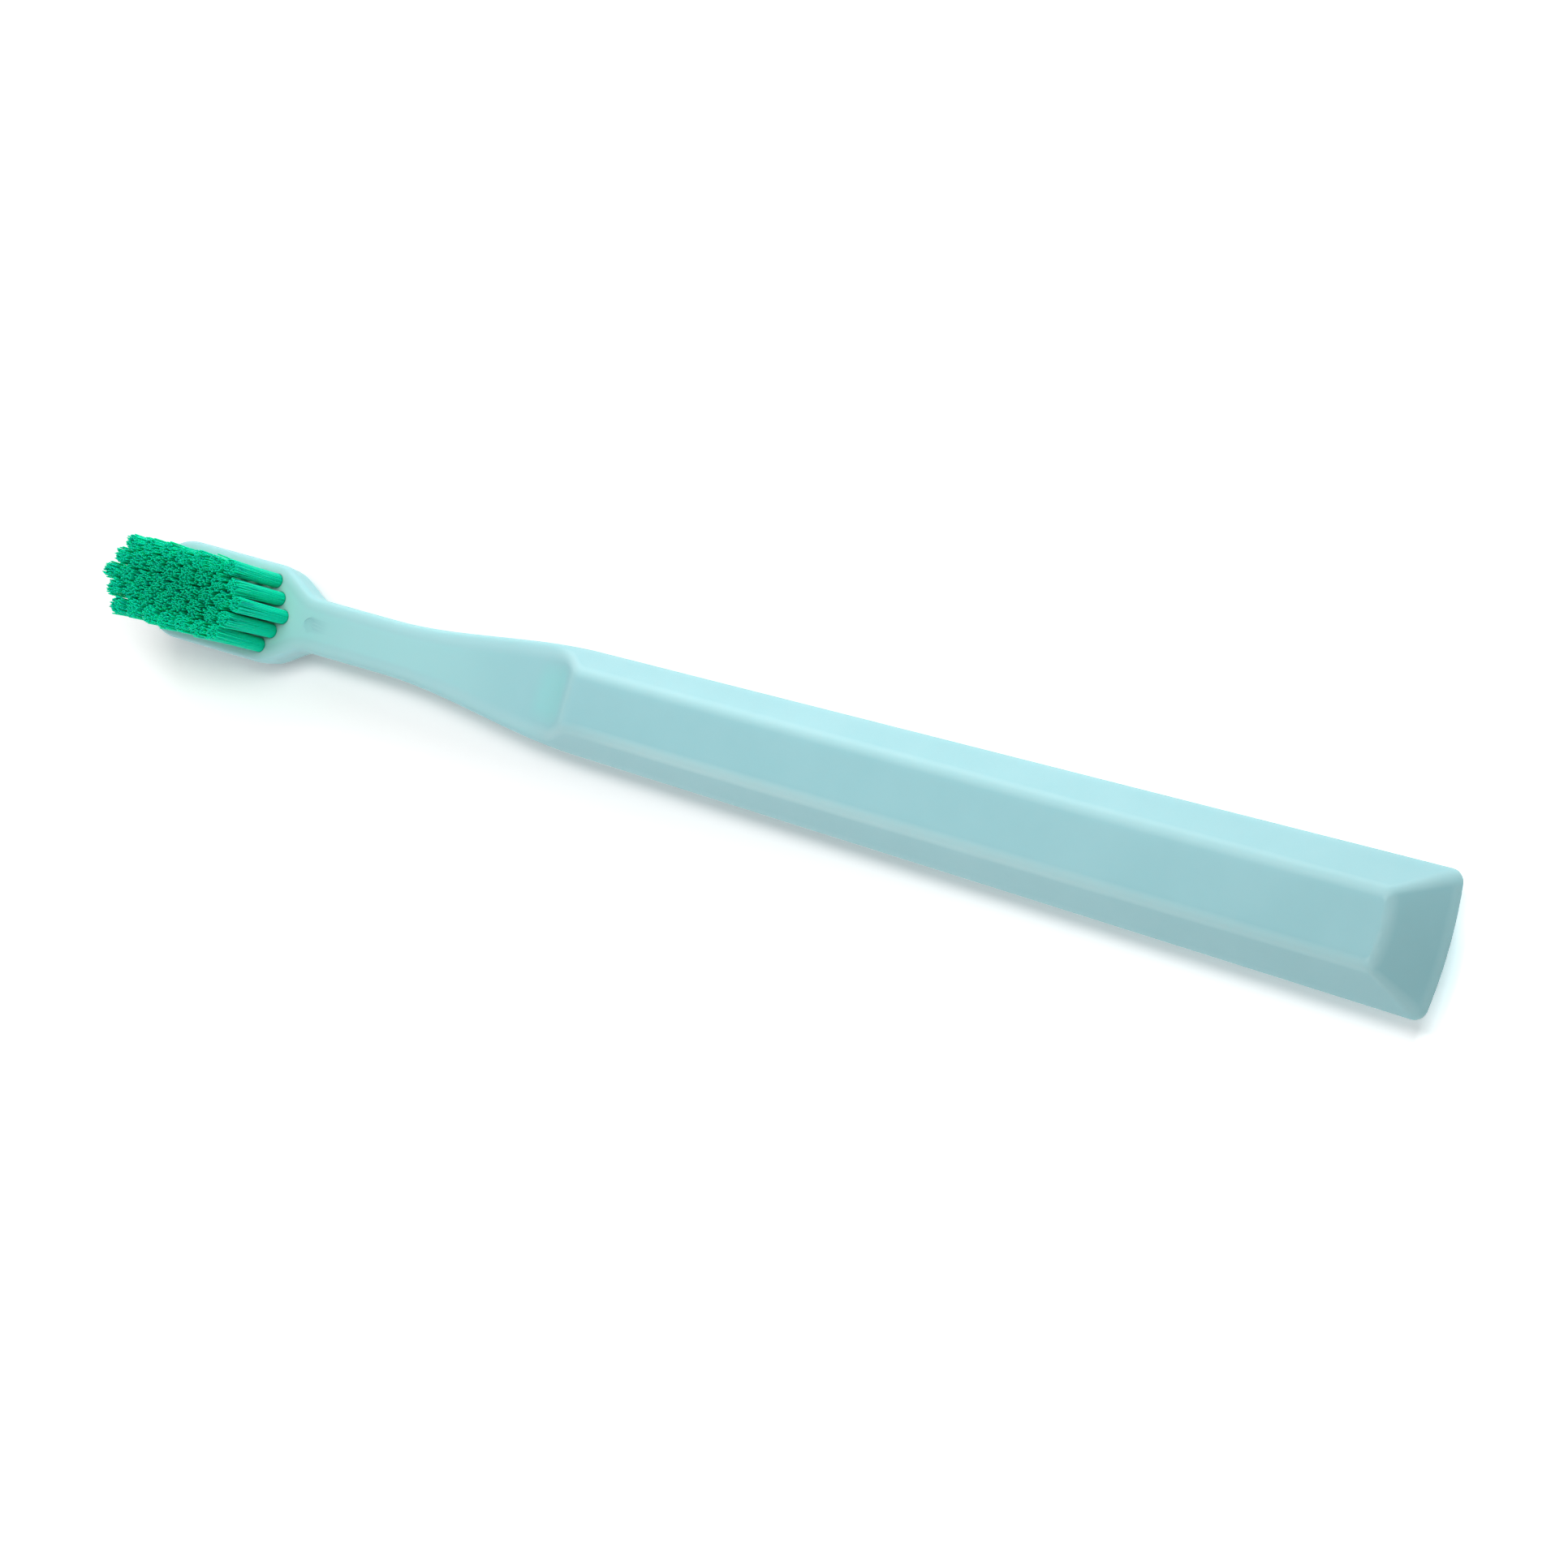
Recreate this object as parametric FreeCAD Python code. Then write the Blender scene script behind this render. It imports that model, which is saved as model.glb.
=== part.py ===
import FreeCAD, Part
import math
import os
from collections import namedtuple

# Manual toothbrush, in millimetres, lying on its back with the bristles up. +X runs from the head to
# the handle's end and +Z points up. The origin is on the table, under the middle of the brush.

# Grip: a faceted bar that narrows towards the neck. Widths are full widths.
grip_length = 111.75             # from the handle's end to the crest of the thumb ramp
grip_thickness = 9.2
grip_end_width = 16.1            # across the widest line, at the handle's end
grip_front_width = 12.36         # the same, at the crest of the thumb ramp
face_end_width = 8.4             # flat top and bottom faces, at the handle's end
face_front_width = 7.15          # the same, at the crest of the thumb ramp
side_land = 0.6                  # height of the upright band along the widest line
end_slope_run = 5.6              # how far the sloped facets at the handle's end run
end_bulge = 0.4                  # how far the end curves out at its middle
end_corner_radius = 1.5          # corners of the end, seen from above
face_corner_radius = 0.8         # corners of the flat faces, seen from above

# Thumb ramp, neck and shoulder
ramp_run = 7.05
neck_top = 5.6                   # height of the flat top of neck and head
neck_lift = 1.0                  # gap between the table and the underside of neck and head
taper_length = 30.0              # from the crest of the ramp to the slim part of the neck
waist_length = 12.0
waist_width = 6.72
waist_sole_width = 5.7           # underside of the slim part, at table height
shoulder_length = 7.0
waist_ridge_share = 0.2          # where the neck's bevels would meet the grip's top, of the waist width
head_ridge_share = 0.5           # the same at the head, of the head width
gate_mark_diameter = 1.6         # round moulding mark on the neck, just behind the head
gate_mark_depth = 0.15
gate_mark_setback = 6.85         # from the start of the head

# Tufts: staggered rows across the head
row_counts = (7, 8, 9, 8, 7)
tuft_diameter = 1.8
tuft_gap = 0.62                  # between the tufts of a row, at their roots
row_gap = 0.24                   # between the sides of two rows, at their roots
tuft_reach = 10.0                # height of the tips above the head
tuft_flare = 0.3                 # growth of the diameter towards the tip
tip_dome = 0.25                  # rise of the rounded tip
fit_clearance = 0.02

# Head: plastic that is left around and under the tuft holes
head_end_wall = 2.54
head_side_wall = 1.2
head_cutback = 1.0               # how far the shoulder starts before the last tufts of the long rows
head_sole_inset = 0.5            # how far the underside stands in from the widest line
head_floor = 1.6

# Anchor plates: flat wire across the foot of each tuft
anchor_thickness = 0.25
anchor_height = 1.3
anchor_bite = 0.25               # how far each end cuts into the wall of the hole
anchor_lift = 0.4                # fold of the filaments under the plate

cut_overrun = 2.0
full_turn = 360
ease_share = 1 / 3               # inner control points of a smooth S curve, of its run

# Sizes worked out from those above
tuft_pitch = tuft_diameter + tuft_gap
row_pitch = tuft_diameter + row_gap
longest_row = max(row_counts)
head_width = (len(row_counts) - 1) * row_pitch + tuft_diameter + 2 * head_side_wall
head_length = head_end_wall + tuft_diameter + (longest_row - 2) * tuft_pitch - head_cutback
brush_length = grip_length + taper_length + waist_length + shoulder_length + head_length
hole_diameter = tuft_diameter + 2 * fit_clearance
hole_foot = neck_lift + head_floor
anchor_foot = hole_foot + anchor_lift
anchor_length = hole_diameter + 2 * anchor_bite

# Stations along the brush
end_x = brush_length / 2
crest_x = end_x - grip_length
waist_x = crest_x - taper_length
shoulder_x = waist_x - waist_length
head_x = shoulder_x - shoulder_length
tip_x = head_x - head_length
tip_centre_x = tip_x + head_width / 2

up = FreeCAD.Vector(0, 0, 1)

# Plan outline at one height, with the full width at each station
Level = namedtuple("Level", "height end_x corner end_width front_width waist_width head_width")


def at(x, y, z):
    """Point in the brush's frame."""
    return FreeCAD.Vector(x, y, z)


def edge(points):
    """Line through two points, arc through three, or smooth S curve with four control points."""
    if len(points) == 2:
        return Part.LineSegment(*points).toShape()
    if len(points) == 3:
        return Part.Arc(*points).toShape()
    curve = Part.BezierCurve()
    curve.setPoles(points)
    return curve.toShape()


def eighth(centre, radius, way):
    """Point halfway round a quarter circle, on the side that way points to."""
    reach = radius * math.sqrt(0.5)
    return centre + at(reach * way, reach, 0)


def flank(level):
    """Point lists for the +Y side of an outline, from the corner at the end to the head's tip."""
    end, front, waist, head = (width / 2 for width in level[3:])
    corner = level.corner
    corner_x = level.end_x - end_bulge - corner
    taper = ease_share * taper_length
    shoulder = ease_share * shoulder_length
    narrowing = (end - front) / (corner_x - crest_x)
    corner_centre = at(corner_x, end - corner, level.height)
    tip_centre = at(tip_centre_x, 0, level.height)

    def place(x, y):
        return at(x, y, level.height)

    return [
        [place(corner_x + corner, end - corner), eighth(corner_centre, corner, 1), place(corner_x, end)],
        [place(corner_x, end), place(crest_x, front)],
        [place(crest_x, front), place(crest_x - taper, front - narrowing * taper),
         place(waist_x + taper, waist), place(waist_x, waist)],
        [place(waist_x, waist), place(shoulder_x, waist)],
        [place(shoulder_x, waist), place(shoulder_x - shoulder, waist),
         place(head_x + shoulder, head), place(head_x, head)],
        [place(head_x, head), place(tip_centre_x, head)],
        [place(tip_centre_x, head), eighth(tip_centre, head, -1), place(tip_centre_x - head, 0)],
    ]


def outline(level):
    """Closed plan outline of the whole brush at one height."""
    near = flank(level)
    far = [[at(p.x, -p.y, p.z) for p in reversed(points)] for points in reversed(near)]
    start = near[0][0]
    end = far[-1][-1]
    bow = [end, at(level.end_x, 0, level.height), start]
    return Part.Wire([edge(points) for points in [bow] + near + far])


def sunk_arc(foot, run, rise):
    """Arc that leaves its foot level, towards +X, and rises to its crest over a given run."""
    half_turn = math.atan2(rise, run)
    radius = math.hypot(run, rise) / (2 * math.sin(half_turn))
    middle = foot + at(radius * math.sin(half_turn), 0, radius * (1 - math.cos(half_turn)))
    return edge([foot, middle, foot + at(run, 0, rise)])


def side_cut(foot, run, rise, outer_height):
    """Block across the brush from an arc to the tip, out to a height above or below the brush."""
    beyond_x = tip_x - cut_overrun
    crest = foot + at(run, 0, rise)
    back = [crest, at(crest.x, 0, outer_height), at(beyond_x, 0, outer_height), at(beyond_x, 0, foot.z), foot]
    edges = [edge(pair) for pair in zip(back, back[1:])]
    face = Part.Face(Part.Wire([sunk_arc(foot, run, rise)] + edges))
    reach = grip_end_width + 2 * cut_overrun
    block = face.extrude(at(0, reach, 0))
    block.translate(at(0, -reach / 2, 0))
    return block


def thumb_ramp_cut():
    """Space above the thumb ramp and the flat top of neck and head."""
    foot = at(crest_x - ramp_run, 0, neck_top)
    return side_cut(foot, ramp_run, grip_thickness - neck_top, grip_thickness + cut_overrun)


def underside_cut():
    """Space that lifts the neck and head off the table."""
    foot = at(waist_x, 0, neck_lift)
    return side_cut(foot, taper_length, -neck_lift, -cut_overrun)


def tuft_places():
    """Node name, x and y of every tuft."""
    middle_x = tip_x + head_end_wall + tuft_diameter / 2 + (longest_row - 1) * tuft_pitch / 2
    for row, count in enumerate(row_counts):
        y = (row - (len(row_counts) - 1) / 2) * row_pitch
        for place in range(count):
            x = middle_x + (place - (count - 1) / 2) * tuft_pitch
            yield f"tuft_row{row + 1}_{place + 1}", x, y


def anchor_plate(margin):
    """Anchor plate across the axis, with a margin on its sides and top and none under its foot."""
    thickness = anchor_thickness + 2 * margin
    length = anchor_length + 2 * margin
    corner = at(-thickness / 2, -length / 2, anchor_foot)
    return Part.makeBox(thickness, length, anchor_height + margin, corner)


def tuft_hole():
    """Blind hole for a tuft, with the seat that its anchor plate cuts in the wall."""
    depth = neck_top - hole_foot + cut_overrun
    hole = Part.makeCylinder(hole_diameter / 2, depth, at(0, 0, hole_foot), up)
    return hole.fuse(anchor_plate(fit_clearance))


def tuft():
    """Bundle of filaments on the axis, folded round its anchor plate, with a domed tip."""
    root_radius = tuft_diameter / 2
    tip_radius = root_radius + tuft_flare / 2
    tip_height = neck_top + tuft_reach
    tip = at(0, 0, tip_height)
    rim = at(tip_radius, 0, tip_height - tip_dome)
    corners = [rim, at(root_radius, 0, neck_top), at(root_radius, 0, hole_foot), at(0, 0, hole_foot), tip]
    sides = [edge(pair) for pair in zip(corners, corners[1:])]
    profile = Part.Face(Part.Wire([sunk_arc(tip, tip_radius, -tip_dome)] + sides))
    bundle = profile.revolve(at(0, 0, 0), up, full_turn)
    return bundle.cut(anchor_plate(fit_clearance))


def handle():
    """Grip, neck and head in one moulding."""
    middle = grip_thickness / 2
    widest = (end_corner_radius, grip_end_width, grip_front_width, waist_width, head_width)
    sole = (face_corner_radius, face_end_width, face_front_width, waist_sole_width,
            head_width - 2 * head_sole_inset)
    top = (face_corner_radius, face_end_width, face_front_width, waist_ridge_share * waist_width,
           head_ridge_share * head_width)
    face_x = end_x - end_slope_run
    levels = [
        Level(0, face_x, *sole),
        Level(middle - side_land / 2, end_x, *widest),
        Level(middle + side_land / 2, end_x, *widest),
        Level(grip_thickness, face_x, *top),
    ]
    body = Part.makeLoft([outline(level) for level in levels], True, True)
    body = body.cut([thumb_ramp_cut(), underside_cut()])
    gate_mark = Part.makeCylinder(gate_mark_diameter / 2, gate_mark_depth + cut_overrun,
                                  at(head_x + gate_mark_setback, 0, neck_top - gate_mark_depth), up)
    hole = tuft_hole()
    holes = [hole.translated(at(x, y, 0)) for _, x, y in tuft_places()]
    return body.cut([gate_mark] + holes)


def write_parts():
    """One STEP file for each node."""
    os.makedirs("parts", exist_ok=True)
    handle().exportStep("parts/handle.step")
    bundle = tuft()
    plate = anchor_plate(0)
    plates = []
    for name, x, y in tuft_places():
        place = at(x, y, 0)
        bundle.translated(place).exportStep(f"parts/{name}.step")
        plates.append(plate.translated(place))
    Part.makeCompound(plates).exportStep("parts/tuft_anchors.step")


write_parts()
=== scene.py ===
"""Dresses a manual toothbrush: a faceted satin handle, tufts of filaments and their anchor plates."""

import logging
import math
import random
from dataclasses import dataclass, field
from enum import Enum
from typing import Iterator, Sequence

import bmesh
import bpy
from mathutils import Matrix, Vector


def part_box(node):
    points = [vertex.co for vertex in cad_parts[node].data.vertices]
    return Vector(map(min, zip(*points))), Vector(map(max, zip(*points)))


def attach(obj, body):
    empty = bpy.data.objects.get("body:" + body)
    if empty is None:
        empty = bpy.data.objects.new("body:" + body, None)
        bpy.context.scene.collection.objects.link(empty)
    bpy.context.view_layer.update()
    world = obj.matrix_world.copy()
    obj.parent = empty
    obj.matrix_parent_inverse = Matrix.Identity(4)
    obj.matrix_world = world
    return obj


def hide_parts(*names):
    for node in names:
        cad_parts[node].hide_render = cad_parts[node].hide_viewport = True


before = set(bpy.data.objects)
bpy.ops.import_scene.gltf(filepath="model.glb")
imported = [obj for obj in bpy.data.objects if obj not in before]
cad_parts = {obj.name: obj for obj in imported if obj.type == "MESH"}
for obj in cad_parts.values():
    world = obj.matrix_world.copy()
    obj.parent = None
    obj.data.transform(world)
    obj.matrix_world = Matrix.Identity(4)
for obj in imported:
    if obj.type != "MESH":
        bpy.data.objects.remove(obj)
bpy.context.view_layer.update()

MM = 0.001
MERGE_GAP = 1e-4  # points closer than this, in millimetres, become one
BODY = "root"
LOG = logging.getLogger("toothbrush")

Colour = tuple[float, float, float]


class Slot(Enum):
    """Material slots of the record."""

    HANDLE = "handle_plastic"
    BRISTLE = "bristle_nylon"
    ANCHOR = "anchor_metal"


class Mark(Enum):
    """Names of the values that meshes carry from point to point for their materials."""

    # Painted highlight along the handle's rounded edges
    EDGE = "rounded_edge"
    # Painted bounce light, greener, at the ramp's concave foot
    HOLLOW_BOUNCE = "ramp_hollow"
    # Painted glow: neck and head lighter
    PALE = "pale_head"
    ALONG = "along_filament"
    # Random depth of colour of the filaments, and painted shade in the middle of the bristle field
    TONE_AND_SHADE = "filament_tone"


def rgba(colour: Colour) -> tuple[float, float, float, float]:
    """Linear colour with full alpha."""
    return (*colour, 1.0)


def smooth_step(low: float, high: float, value: float) -> float:
    """Share from 0 at low to 1 at high, level at both ends.

    Args:
        low: Value at which the share is 0.
        high: Value at which the share is 1.
        value: Value to place between them.

    Returns:
        The eased share.
    """
    share = min(max((value - low) / (high - low), 0.0), 1.0)
    return share * share * (3 - 2 * share)


def link_object(name: str, data: bpy.types.ID | None) -> bpy.types.Object:
    """Places a mesh, lamp or camera in the scene as a new object, at the origin."""
    made = bpy.data.objects.new(name, data)
    bpy.context.scene.collection.objects.link(made)
    return made


def bare_mesh(bm: bmesh.types.BMesh, name: str) -> bpy.types.Mesh:
    """Turns a bmesh into a mesh as it is and frees it."""
    mesh = bpy.data.meshes.new(name)
    bm.to_mesh(mesh)
    bm.free()
    return mesh


def mesh_from(bm: bmesh.types.BMesh, name: str) -> bpy.types.Mesh:
    """Turns a bmesh in millimetres into a smooth-shaded mesh in metres and frees it.

    Args:
        bm: Finished bmesh.
        name: Name of the mesh.

    Returns:
        The new mesh.
    """
    bmesh.ops.scale(bm, vec=Vector((MM, MM, MM)), verts=bm.verts)
    for face in bm.faces:
        face.smooth = True
    return bare_mesh(bm, name)


class Graph:
    """Places shader nodes in a tree and links them by socket name."""

    def __init__(self, tree: bpy.types.NodeTree) -> None:
        """Starts on a tree."""
        self.tree = tree

    def add(self, kind: str, **inputs: object) -> bpy.types.Node:
        """Adds a node and sets or links its inputs.

        Args:
            kind: Node type, without its ShaderNode prefix.
            **inputs: Socket names, with underscores for spaces, and the value or output socket of each.

        Returns:
            The new node.
        """
        node = self.tree.nodes.new("ShaderNode" + kind)
        for name, value in inputs.items():
            self.feed(node.inputs[name.replace("_", " ")], value)
        return node

    def feed(self, socket: bpy.types.NodeSocket, value: object) -> None:
        """Links an output to a socket, or sets the socket's own value."""
        if isinstance(value, bpy.types.NodeSocket):
            self.tree.links.new(value, socket)
        else:
            socket.default_value = value

    def mix(self, share: object, first: object, second: object) -> bpy.types.NodeSocket:
        """Mixes two colours.

        Args:
            share: How much of the second colour shows.
            first: Colour at a share of 0.
            second: Colour at a share of 1.

        Returns:
            The mixed colour's socket.
        """
        node = self.add("Mix")
        node.data_type = "RGBA"
        self.feed(node.inputs["Factor"], share)
        sockets = [socket for socket in node.inputs if socket.type == "RGBA"]
        for socket, value in zip(sockets, (first, second)):
            self.feed(socket, value)
        return next(socket for socket in node.outputs if socket.type == "RGBA")

    def ranged(self, value: object, low: float, high: float, to_low: float,
               to_high: float) -> bpy.types.NodeSocket:
        """Maps a value from one range to another, held at the ends.

        Args:
            value: Socket to map.
            low: Lower end of the range that it comes from.
            high: Upper end of that range.
            to_low: Result at the lower end.
            to_high: Result at the upper end.

        Returns:
            The result's socket.
        """
        node = self.add("MapRange")
        for socket, number in zip(node.inputs, (value, low, high, to_low, to_high)):
            self.feed(socket, number)
        return node.outputs["Result"]

    def maths(self, operation: str, first: object, second: object) -> bpy.types.NodeSocket:
        """Joins two values by an operation of the Math node."""
        node = self.add("Math")
        node.operation = operation
        self.feed(node.inputs[0], first)
        self.feed(node.inputs[1], second)
        return node.outputs["Value"]

    def vector_maths(self, operation: str, *values: object) -> bpy.types.Node:
        """Joins vectors by an operation of the Vector Math node."""
        node = self.add("VectorMath")
        node.operation = operation
        for socket, value in zip(node.inputs, values):
            self.feed(socket, value)
        return node

    def mark(self, mark: Mark) -> bpy.types.NodeSocket:
        """Value that the mesh carries under a mark's name."""
        node = self.add("Attribute")
        node.attribute_name = mark.value
        return node.outputs["Fac"]

    def place(self, scale: Sequence[float] = (1, 1, 1)) -> bpy.types.NodeSocket:
        """Object coordinates, stretched by a scale for each axis."""
        where = self.add("TexCoord")
        return self.add("Mapping", Vector=where.outputs["Object"], Scale=scale).outputs["Vector"]


class SurfaceGrain:
    """Shader node group with the soft patches and fine grain that every finish of the brush has."""

    NAME = "surface_grain"
    PATCH_SPAN = (0.36, 0.64)
    PATCH_DETAIL = 3.0
    GRAIN_DETAIL = 2.0
    SOCKETS = (
        ("Place", "INPUT", "Vector"),
        ("Patch Scale", "INPUT", "Float"),
        ("Grain Scale", "INPUT", "Float"),
        ("Patches", "OUTPUT", "Float"),
        ("Grain", "OUTPUT", "Float"),
    )

    def tree(self) -> bpy.types.NodeTree:
        """Builds the group, or finds it if it was built before.

        Returns:
            The group's node tree.
        """
        if self.NAME in bpy.data.node_groups:
            return bpy.data.node_groups[self.NAME]
        tree = bpy.data.node_groups.new(self.NAME, "ShaderNodeTree")
        for name, way, kind in self.SOCKETS:
            tree.interface.new_socket(name, in_out=way, socket_type="NodeSocket" + kind)
        graph = Graph(tree)
        given = tree.nodes.new("NodeGroupInput").outputs
        result = tree.nodes.new("NodeGroupOutput").inputs
        patches = graph.add("TexNoise", Vector=given["Place"], Scale=given["Patch Scale"],
                            Detail=self.PATCH_DETAIL)
        grain = graph.add("TexNoise", Vector=given["Place"], Scale=given["Grain Scale"],
                          Detail=self.GRAIN_DETAIL)
        graph.feed(result["Patches"], graph.ranged(patches.outputs["Fac"], *self.PATCH_SPAN, 0.0, 1.0))
        graph.feed(result["Grain"], grain.outputs["Fac"])
        return tree

    def put(self, graph: Graph, place: bpy.types.NodeSocket, patch: float, grain: float) -> bpy.types.Node:
        """Places the group in a material.

        Args:
            graph: Graph of the material.
            place: Coordinates that the pattern follows.
            patch: Size of a patch, in millimetres.
            grain: Size of a grain, in millimetres.

        Returns:
            The group's node.
        """
        node = graph.tree.nodes.new("ShaderNodeGroup")
        node.node_tree = self.tree()
        graph.feed(node.inputs["Place"], place)
        graph.feed(node.inputs["Patch Scale"], 1 / (patch * MM))
        graph.feed(node.inputs["Grain Scale"], 1 / (grain * MM))
        return node


def new_material(name: str) -> tuple[bpy.types.Material, Graph, bpy.types.Node]:
    """Starts a material.

    Args:
        name: Name of the material.

    Returns:
        The material, its graph and its Principled shader.
    """
    material = bpy.data.materials.new(name)
    material.use_nodes = True
    graph = Graph(material.node_tree)
    return material, graph, material.node_tree.nodes["Principled BSDF"]


def sink_light(shader: bpy.types.Node, share: float, spread: Colour, depth: float) -> None:
    """Lets light sink into a surface and scatter there.

    Args:
        shader: Principled shader of the material.
        share: How much of the light sinks in.
        spread: How far red, green and blue spread, as shares of the depth.
        depth: Depth, in millimetres.
    """
    shader.inputs["Subsurface Weight"].default_value = share
    shader.inputs["Subsurface Radius"].default_value = spread
    shader.inputs["Subsurface Scale"].default_value = depth * MM


def add_relief(graph: Graph, shader: bpy.types.Node, grain: bpy.types.NodeSocket, strength: float,
               height: float) -> None:
    """Gives a surface a fine relief.

    Args:
        graph: Graph of the material.
        shader: Its Principled shader.
        grain: Pattern of the relief.
        strength: How strongly the relief shows, up to 1.
        height: Height of the relief, in millimetres.
    """
    bump = graph.add("Bump", Strength=strength, Distance=height * MM, Height=grain)
    graph.feed(shader.inputs["Normal"], bump.outputs["Normal"])


@dataclass(frozen=True)
class SatinPlastic:
    """Pale aqua moulding with a spark-eroded satin skin; highlights on its edges, bounce light and glow are
    painted.
    """

    colour: Colour = (0.330, 0.615, 0.655)
    patch_colour: Colour = (0.315, 0.600, 0.640)
    # Painted highlight along the rounded edges
    edge_highlight_colour: Colour = (0.48, 0.73, 0.75)
    edge_highlight_share: float = 0.42
    # Painted glow on neck and head
    glow_colour: Colour = (0.395, 0.735, 0.745)
    # Painted bounce light at the ramp's concave foot
    hollow_bounce_colour: Colour = (0.295, 0.71, 0.705)
    hollow_bounce_share: float = 0.5
    roughness: tuple[float, float] = (0.40, 0.54)
    patch_size: float = 9.0
    grain_size: float = 0.16
    grain_span: tuple[float, float] = (0.3, 0.7)
    grain_height: float = 0.006
    relief_strength: float = 0.35
    refraction: float = 1.49
    light_share: float = 0.5
    light_spread: Colour = (0.55, 0.95, 1.0)
    light_depth: float = 2.0

    def material(self) -> bpy.types.Material:
        """Builds the handle's material."""
        material, graph, shader = new_material("satin_aqua_plastic")
        skin = SurfaceGrain().put(graph, graph.place(), self.patch_size, self.grain_size)
        colour = graph.mix(skin.outputs["Patches"], rgba(self.colour), rgba(self.patch_colour))
        # Painted glow: neck and head lighter, the head most, as light and glow round the tufts
        colour = graph.mix(graph.mark(Mark.PALE), colour, rgba(self.glow_colour))
        # Painted highlight: lighter colour along the rounded edges and the ramp's crest
        edge = graph.maths("MULTIPLY", graph.mark(Mark.EDGE), self.edge_highlight_share)
        colour = graph.mix(edge, colour, rgba(self.edge_highlight_colour))
        # Painted bounce light: a greener tint at the ramp's concave foot
        hollow_bounce = graph.maths("MULTIPLY", graph.mark(Mark.HOLLOW_BOUNCE), self.hollow_bounce_share)
        colour = graph.mix(hollow_bounce, colour, rgba(self.hollow_bounce_colour))
        graph.feed(shader.inputs["Base Color"], colour)
        rough = graph.ranged(skin.outputs["Grain"], *self.grain_span, *self.roughness)
        graph.feed(shader.inputs["Roughness"], rough)
        add_relief(graph, shader, skin.outputs["Grain"], self.relief_strength, self.grain_height)
        shader.inputs["IOR"].default_value = self.refraction
        sink_light(shader, self.light_share, self.light_spread, self.light_depth)
        return material


@dataclass(frozen=True)
class DyedNylon:
    """Green filament with drawing streaks, a depth of colour of its own, and painted shade mid-field, low
    down and at its end.
    """

    colour: Colour = (0.0, 0.89, 0.46)
    deep_colour: Colour = (0.0, 0.45, 0.215)
    # Painted shade: darker low on the filament and at its cut end
    root_shade_colour: Colour = (0.0, 0.77, 0.39)
    tip_shade_colour: Colour = (0.0, 0.60, 0.295)
    roughness: tuple[float, float] = (0.34, 0.5)
    patch_size: float = 0.5
    streak_size: float = 0.06
    streak_stretch: float = 0.03
    streak_span: tuple[float, float] = (0.35, 0.75)
    streak_share: float = 0.2
    # Where the painted shade low on the filament fades, and where and how dark the cut end is painted
    root_shade_span: tuple[float, float] = (0.2, 0.5)
    tip_start: float = 0.985
    tip_shade_share: float = 0.4
    refraction: float = 1.53
    gloss: float = 0.06
    light_share: float = 0.75
    light_spread: Colour = (0.05, 1.0, 0.7)
    light_depth: float = 0.5

    def material(self) -> bpy.types.Material:
        """Builds the filaments' material."""
        material, graph, shader = new_material("green_nylon_filament")
        along = graph.mark(Mark.ALONG)
        place = graph.place((1, 1, self.streak_stretch))
        streaks = SurfaceGrain().put(graph, place, self.patch_size, self.streak_size)
        # Random depth of colour, and painted shade deepening the middle of the field
        colour = graph.mix(graph.mark(Mark.TONE_AND_SHADE), rgba(self.colour), rgba(self.deep_colour))
        streak = graph.ranged(streaks.outputs["Grain"], *self.streak_span, 0.0, self.streak_share)
        colour = graph.mix(streak, colour, rgba(self.deep_colour))
        # Painted shade: darker low on the filament, near the head
        root = graph.ranged(along, *self.root_shade_span, 1.0, 0.0)
        colour = graph.mix(root, colour, rgba(self.root_shade_colour))
        # Painted shade: darker at the cut end
        tip = graph.ranged(along, self.tip_start, 1.0, 0.0, self.tip_shade_share)
        colour = graph.mix(tip, colour, rgba(self.tip_shade_colour))
        graph.feed(shader.inputs["Base Color"], colour)
        rough = graph.ranged(streaks.outputs["Patches"], 0.0, 1.0, *self.roughness)
        graph.feed(shader.inputs["Roughness"], rough)
        shader.inputs["IOR"].default_value = self.refraction
        shader.inputs["Specular IOR Level"].default_value = self.gloss
        sink_light(shader, self.light_share, self.light_spread, self.light_depth)
        return material


@dataclass(frozen=True)
class DrawnBrass:
    """Flat brass wire with fine drawing lines along its length."""

    colour: Colour = (0.70, 0.50, 0.20)
    tarnish_colour: Colour = (0.42, 0.27, 0.10)
    tarnish_share: float = 0.5
    roughness: tuple[float, float] = (0.24, 0.42)
    patch_size: float = 0.8
    line_size: float = 0.05
    line_stretch: float = 0.04
    line_span: tuple[float, float] = (0.3, 0.7)
    line_height: float = 0.004
    relief_strength: float = 0.3

    def material(self) -> bpy.types.Material:
        """Builds the anchor plates' material."""
        material, graph, shader = new_material("drawn_brass")
        place = graph.place((1, self.line_stretch, 1))
        lines = SurfaceGrain().put(graph, place, self.patch_size, self.line_size)
        tarnish = graph.maths("MULTIPLY", lines.outputs["Patches"], self.tarnish_share)
        colour = graph.mix(tarnish, rgba(self.colour), rgba(self.tarnish_colour))
        graph.feed(shader.inputs["Base Color"], colour)
        rough = graph.ranged(lines.outputs["Grain"], *self.line_span, *self.roughness)
        graph.feed(shader.inputs["Roughness"], rough)
        add_relief(graph, shader, lines.outputs["Grain"], self.relief_strength, self.line_height)
        shader.inputs["Metallic"].default_value = 1.0
        return material


@dataclass(frozen=True)
class Level:
    """Plan outline of the handle at one height. Widths are full widths."""

    height: float
    end_x: float
    corner: float
    end_width: float
    front_width: float
    waist_width: float
    head_width: float


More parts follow.
